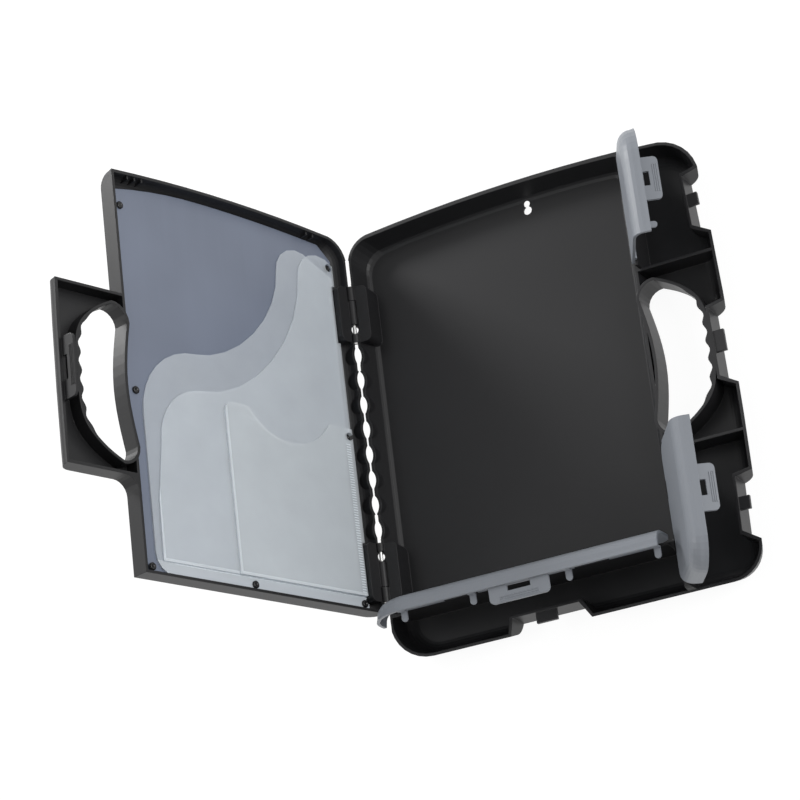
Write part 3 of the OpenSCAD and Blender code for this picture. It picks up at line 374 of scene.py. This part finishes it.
def sheet_plastic(name, colour):
    """Calendered plastic sheet: smooth, with a fine leather-like grain and faint rolling streaks."""
    g = material_graph(name)
    soft, edge = g.edges(0.8 * MM)
    streaks = g.noise(6 * MM, stretch=(1, 0.04, 0.04))
    cloud = g.noise(90 * MM)
    grain = g.node("ShaderNodeTexVoronoi", values={"Vector": g.place(), "Scale": 1 / (0.8 * MM)})
    shade = g.mix(cloud.ramp(0.3, 0.7), rgba(colour, 0.94), rgba(colour, 1.06))
    shade = g.mix(streaks.ramp(0.35, 0.65) * 0.2, shade, rgba(colour, 1.15))
    return g.surface(
        Base_Color=g.mix(edge * 0.8, shade, rgba(colour, 1.7)),
        Roughness=0.36 + streaks * 0.08,
        Normal=g.bump(grain + cloud * 2, 0.03 * MM, 0.3, soft),
    )


def clear_film(name, colour, hiding, weld):
    """Frosted clear vinyl that hides a share of what is behind it, and more where it is welded.

    weld turns the places across and along the cover into a mask of the welded film. Only the faces
    that are seen from outside hide anything, so films that touch don't flicker where they meet.
    """
    g = material_graph(name)
    across, along, _ = g.cover_place()
    frost = g.noise(30 * MM, detail=3)
    speck = g.noise(0.5 * MM)
    waves = g.noise(85 * MM, detail=1)
    rim = g.dot(g.geometry("Normal"), COVER_AXES[2]).math("ABSOLUTE").ramp(0.7, 0.4)
    welded = weld(across, along)
    front = 1 - g.geometry("Backfacing")
    return g.surface(
        Base_Color=g.mix(frost, rgba(colour, 0.97), rgba(colour, 1.03)),
        Alpha=(hiding - 0.02 + frost * 0.04 + welded * 0.22 + rim * 0.3) * front,
        Roughness=0.34 + frost * 0.1,
        Normal=g.bump(waves * 3 + speck * 0.2 + welded * 2, 0.12 * MM, 0.5),
    )


SEAM_WIDTH = 2 * MM
WELD_SOFT = 0.4 * MM


def lower_strip(across, along):
    """The rear pocket is welded to the sheet below the other pockets."""
    return along.within(REAR[0].y - 1 * MM, MIDDLE[0].y, WELD_SOFT)


def seam(box):
    """Weld along the lower edge and the handle side of a pocket."""

    def mask(across, along):
        low = along.ramp(box[0].y + SEAM_WIDTH + WELD_SOFT, box[0].y + SEAM_WIDTH)
        side = across.ramp(box[1].x - SEAM_WIDTH - WELD_SOFT, box[1].x - SEAM_WIDTH)
        return low.math("MAXIMUM", side)

    return mask


def weld_and_highlight_vinyl(name, colour):
    """Vinyl pressed solid by the welding bar: paler and a little glossy. It also makes the pale lines that
    paint the highlight along the film's edges.
    """
    g = material_graph(name)
    press = g.noise(1.5 * MM)
    return g.surface(
        Base_Color=g.mix(press, rgba(colour, 0.94), rgba(colour, 1.04)),
        Alpha=0.6 + press * 0.1,
        Roughness=0.28 + press * 0.1,
        Normal=g.bump(press, 0.03 * MM, 0.4),
    )


def drawn_steel(name, colour):
    """Bright drawn steel wire, with lines along the wire."""
    g = material_graph(name)
    lines = g.noise(0.4 * MM, detail=3, roughness=0.6, stretch=(1, 0.04, 1))
    stain = g.noise(5 * MM)
    return g.surface(
        Base_Color=g.mix(stain, rgba(colour, 0.85), rgba(colour, 1.05)),
        Metallic=1.0,
        Roughness=0.22 + lines * 0.16,
        Normal=g.bump(lines, 0.02 * MM, 0.4),
    )


def nickel_plate(name, colour):
    """Nickel plated sheet steel, rolled smooth, with fingermarks."""
    g = material_graph(name)
    soft, edge = g.edges(0.4 * MM)
    marks = g.noise(9 * MM, detail=4, roughness=0.65).ramp(0.4, 0.85)
    rolled = g.noise(0.8 * MM, stretch=(0.05, 1, 0.05))
    return g.surface(
        Base_Color=g.mix(marks * 0.3 + edge * 0.3, rgba(colour), rgba(colour, 0.9)),
        Metallic=1.0,
        Roughness=0.2 + marks * 0.06 + rolled * 0.04,
        Normal=g.bump(rolled, 0.01 * MM, 0.3, soft),
    )


def soft_rubber(name, colour):
    """Matt black moulded rubber."""
    g = material_graph(name)
    bloom = g.noise(2 * MM, detail=3)
    return g.surface(
        Base_Color=g.mix(bloom, rgba(colour, 0.9), rgba(colour, 1.5)),
        Roughness=0.7 + bloom * 0.15,
        Normal=g.bump(g.noise(0.3 * MM), 0.03 * MM, 0.4),
    )


# ---- looks that a user may change ----
def colour_property(name, description, default):
    """A colour that a user may change."""
    return FloatVectorProperty(
        name=name, description=description, subtype="COLOR", size=3, min=0, max=1, default=default
    )


def share_property(name, description, default):
    """A number from 0 to 1 that a user may change."""
    return FloatProperty(name=name, description=description, subtype="FACTOR", min=0, max=1, default=default)


class CaseLooks(bpy.types.PropertyGroup):
    """Colours and finishes of the case"""

    case_colour: colour_property("Case", "Colour of the moulded base and cover", (0.0115, 0.0115, 0.0125))
    lid_colour: colour_property("Lids", "Colour of the three lids", (0.22, 0.235, 0.26))
    sheet_colour: colour_property("Backing sheet", "Colour of the sheet in the cover", (0.155, 0.18, 0.24))
    film_colour: colour_property("Pockets", "Colour of the frosted film", (0.86, 0.92, 0.97))
    steel_colour: colour_property("Pins", "Colour of pins and spring wire", (0.56, 0.56, 0.55))
    nickel_colour: colour_property("Clip", "Colour of the plated clip", (0.66, 0.64, 0.6))
    grip_colour: colour_property("Clip grips", "Colour of the clip's rubber", (0.02, 0.02, 0.021))
    film_opacity: share_property("Film opacity", "How much one film hides", 0.37)
    case_rough: share_property("Case roughness", "Roughness of the moulded case", 0.42)
    lid_rough: share_property("Lid roughness", "Roughness of the lids", 0.38)
    rivet_rough: share_property("Rivet roughness", "Roughness of the sheet's rivets", 0.24)
    case_wear: share_property("Case wear", "How pale the edges of the case are rubbed", 0.35)
    lid_wear: share_property("Lid wear", "How pale the edges of the lids are rubbed", 0.105)
    rivet_wear: share_property("Rivet wear", "How pale the edges of the rivets are rubbed", 0.2)


class StageLooks(bpy.types.PropertyGroup):
    """Light and camera of the stage"""

    lamp_watts: FloatProperty(
        name="Lamps", description="Power of which each lamp takes its share", unit="POWER", min=0, default=24
    )
    fill_level: FloatProperty(
        name="Fill", description="Strength of the even light all round", min=0, max=2, default=0.42
    )
    lens: FloatProperty(
        name="Lens", description="Focal length of the camera", unit="CAMERA", min=50, max=300, default=134.8
    )


# ---- operators ----
class CASE_OT_shells(bpy.types.Operator):
    """Gives the base and the cover their moulded plastic"""

    bl_idname = "case.shells"
    bl_label = "Dress Base and Cover"

    def execute(self, context):
        look = context.scene.case_looks
        charcoal = moulded_plastic("moulded_charcoal", look.case_colour, look.case_rough, look.case_wear)
        dress(CASE_NODES, charcoal)
        return {"FINISHED"}


class CASE_OT_lids(bpy.types.Operator):
    """Gives the three lids their grey plastic"""

    bl_idname = "case.lids"
    bl_label = "Dress Lids"

    def execute(self, context):
        look = context.scene.case_looks
        dress(LID_NODES, moulded_plastic("moulded_grey", look.lid_colour, look.lid_rough, look.lid_wear))
        return {"FINISHED"}


class CASE_OT_sheet(bpy.types.Operator):
    """Gives the backing sheet and its rivets their finish"""

    bl_idname = "case.sheet"
    bl_label = "Dress Backing Sheet"

    def execute(self, context):
        look = context.scene.case_looks
        dress(("backing_sheet",), sheet_plastic("calendered_sheet", look.sheet_colour))
        charcoal = moulded_plastic("rivet_charcoal", look.case_colour, look.rivet_rough, look.rivet_wear)
        dress(("pocket_rivets",), charcoal)
        add_to_cover("rivet_domes", draw_domes, charcoal)
        return {"FINISHED"}


class CASE_OT_pockets(bpy.types.Operator):
    """Gives the pockets their frosted film, their welds and pale lines that paint the highlight along the
    lower strip's edges
    """

    bl_idname = "case.pockets"
    bl_label = "Dress Pockets"

    def execute(self, context):
        look = context.scene.case_looks
        for name, weld in zip(POCKET_NODES, (lower_strip, seam(MIDDLE), seam(FRONT))):
            dress((name,), clear_film("film_" + name, look.film_colour, look.film_opacity, weld))
        vinyl = weld_and_highlight_vinyl("weld_and_highlight_vinyl", look.film_colour)
        add_to_cover("side_weld_dashes", draw_dashes, vinyl)
        # pale lines that paint the highlight along the edges of the rear pocket's lower strip
        add_to_cover("lower_highlight_lines", draw_lines, vinyl)
        return {"FINISHED"}


class CASE_OT_metal(bpy.types.Operator):
    """Gives pins, spring, clip and its grips their finish"""

    bl_idname = "case.metal"
    bl_label = "Dress Pins and Clip"

    def execute(self, context):
        look = context.scene.case_looks
        dress(WIRE_NODES, drawn_steel("drawn_steel", look.steel_colour))
        dress(NICKEL_NODES, nickel_plate("nickel_plate", look.nickel_colour))
        dress(("clip_grips",), soft_rubber("soft_rubber", look.grip_colour))
        return {"FINISHED"}


class CASE_OT_stage(bpy.types.Operator):
    """Builds the floor, the light and the camera"""

    bl_idname = "case.stage"
    bl_label = "Build Stage"

    def execute(self, context):
        stage = context.scene.stage_looks
        build_floor()
        build_lamps(stage.lamp_watts)
        build_world(stage.fill_level)
        build_camera(stage.lens)
        context.scene.view_settings.view_transform = "Standard"
        return {"FINISHED"}


# ---- stage ----
WHITE = (1, 1, 1, 1)
FLOOR_PAPER = (0.86, 0.86, 0.86, 1)
FLOOR_HALF = 6.0
# the floor lies just under the case, so that their faces don't meet
FLOOR_DROP = 0.5 * MM
# strength of the floor's own white, and its share in what the camera sees of the floor
FLOOR_GLOW = 1.08
FLOOR_SHARE = 0.86

# each lamp's share of the power, its width, its place and the point that it faces
LAMPS = {
    "key_lamp": (0.62, 1.0, (-1.8, -0.35, 1.9), (0, 0, 0.05)),
    "side_lamp": (1.15, 1.2, (1.9, 0.15, 1.1), (-0.1, 0, 0.12)),
    "low_lamp": (1.15, 0.5, (-1.3, 1.2, 0.8), (0.1, 0.15, 0.05)),
}

CAMERA_EYE = Vector((0.7782, -0.8016, 2.0396))
# degrees about X, Y and Z
CAMERA_TURN = (17.5114, 26.3097, -7.2186)
CAMERA_REACH = 20.0
CAMERA_SENSOR = 36.0


def build_floor():
    """A pale floor that is white to the camera and keeps a soft shadow."""
    mesh = bpy.data.meshes.new("floor")
    ends = ((-1, -1), (1, -1), (1, 1), (-1, 1))
    mesh.from_pydata([(x * FLOOR_HALF, y * FLOOR_HALF, 0) for x, y in ends], [], [(0, 1, 2, 3)])
    g = material_graph("floor_paper")
    lit = g.node("ShaderNodeBsdfDiffuse", values={"Color": FLOOR_PAPER})
    glow = g.node("ShaderNodeEmission", values={"Color": WHITE, "Strength": FLOOR_GLOW})
    surface = g.node("ShaderNodeMixShader", values={0: g.shows_backdrop() * FLOOR_SHARE, 1: lit, 2: glow})
    g.node("ShaderNodeOutputMaterial", values={"Surface": surface})
    mesh.materials.append(g.owner)
    floor = bpy.data.objects.new("floor", mesh)
    floor.location.z = -FLOOR_DROP
    bpy.context.scene.collection.objects.link(floor)


def build_lamps(watts):
    """Soft square lamps round the case."""
    for name, (share, width, place, target) in LAMPS.items():
        light = bpy.data.lights.new(name, "AREA")
        light.energy = watts * share
        light.size = width
        lamp = bpy.data.objects.new(name, light)
        lamp.location = place
        lamp.rotation_euler = (Vector(target) - Vector(place)).to_track_quat("-Z", "Y").to_euler()
        bpy.context.scene.collection.objects.link(lamp)


def build_world(fill):
    """Even light all round, which shows as white behind the floor."""
    g = Graph(bpy.data.worlds.new("studio"))
    strength = g.shows_backdrop().math("MAXIMUM", fill)
    sky = g.node("ShaderNodeBackground", values={"Color": WHITE, "Strength": strength})
    g.node("ShaderNodeOutputWorld", values={"Surface": sky})
    bpy.context.scene.world = g.owner


def build_camera(lens):
    """The camera, high above the handle side and the pencil tray."""
    data = bpy.data.cameras.new("camera")
    data.lens = lens
    data.sensor_width = CAMERA_SENSOR
    data.clip_end = CAMERA_REACH
    camera = bpy.data.objects.new("camera", data)
    turn = Euler([math.radians(angle) for angle in CAMERA_TURN])
    camera.matrix_world = Matrix.Translation(CAMERA_EYE) @ turn.to_matrix().to_4x4()
    bpy.context.scene.collection.objects.link(camera)
    bpy.context.scene.camera = camera


# ---- sidebar and registration ----
class CASE_PT_sidebar(bpy.types.Panel):
    """The case's finishes and stage"""

    bl_label = "Clipboard Case"
    bl_idname = "CASE_PT_sidebar"
    bl_space_type = "VIEW_3D"
    bl_region_type = "UI"
    bl_category = "Clipboard Case"

    def draw(self, context):
        for looks in (context.scene.case_looks, context.scene.stage_looks):
            column = self.layout.column()
            for name in type(looks).__annotations__:
                column.prop(looks, name)
        for operator in OPERATORS:
            self.layout.operator(operator.bl_idname)


OPERATORS = (CASE_OT_shells, CASE_OT_lids, CASE_OT_sheet, CASE_OT_pockets, CASE_OT_metal, CASE_OT_stage)
CLASSES = (CaseLooks, StageLooks, *OPERATORS, CASE_PT_sidebar)


def register():
    """Makes the looks, the operators and the panel known to Blender."""
    for cls in CLASSES:
        bpy.utils.register_class(cls)
    bpy.types.Scene.case_looks = PointerProperty(type=CaseLooks)
    bpy.types.Scene.stage_looks = PointerProperty(type=StageLooks)


def unregister():
    """Takes them away again."""
    del bpy.types.Scene.stage_looks
    del bpy.types.Scene.case_looks
    for cls in reversed(CLASSES):
        bpy.utils.unregister_class(cls)


def main():
    """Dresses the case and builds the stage."""
    register()
    bpy.ops.case.shells()
    bpy.ops.case.lids()
    bpy.ops.case.sheet()
    bpy.ops.case.pockets()
    bpy.ops.case.metal()
    bpy.ops.case.stage()


if __name__ == "__main__":
    main()
